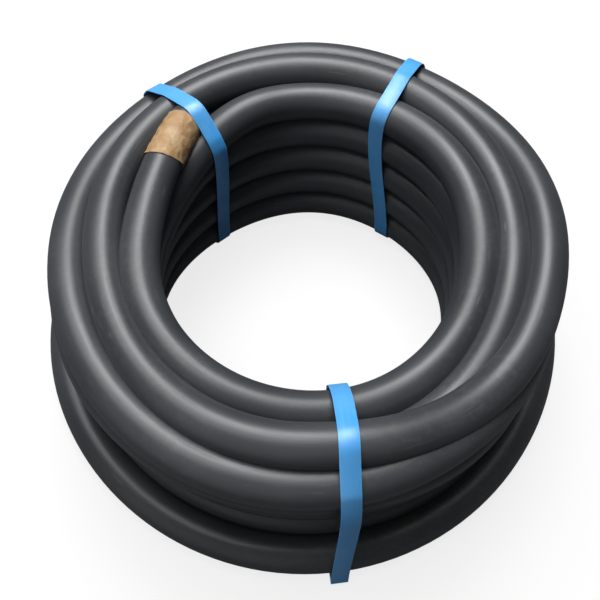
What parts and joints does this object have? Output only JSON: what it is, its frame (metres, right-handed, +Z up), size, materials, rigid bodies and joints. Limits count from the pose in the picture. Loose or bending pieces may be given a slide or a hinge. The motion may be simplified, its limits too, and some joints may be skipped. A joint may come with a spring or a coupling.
{
  "type": "coil of flexible conduit",
  "caption": "Round coil of smooth dark flexible conduit lying flat, with an open bore, held by flat blue plastic straps, its inner end bound with tan tape.",
  "frame": {"origin": "centre of the coil on the floor it lies on, under the straps", "axes": "+Z up along the coil's axis, -Y towards the front strap, +X to the right"},
  "size_m": [0.375, 0.375, 0.1244],
  "materials": {
    "conduit": "satin dark charcoal sheath, smooth",
    "strap": "bright blue plastic strapping, satin",
    "tape": "tan crepe tape, slightly crinkled"
  },
  "bodies": {
    "root": {"conduit_coil": "conduit", "front_strap": "strap", "back_right_strap": "strap", "back_left_strap": "strap", "end_tape": "tape"}
  },
  "joints": []
}
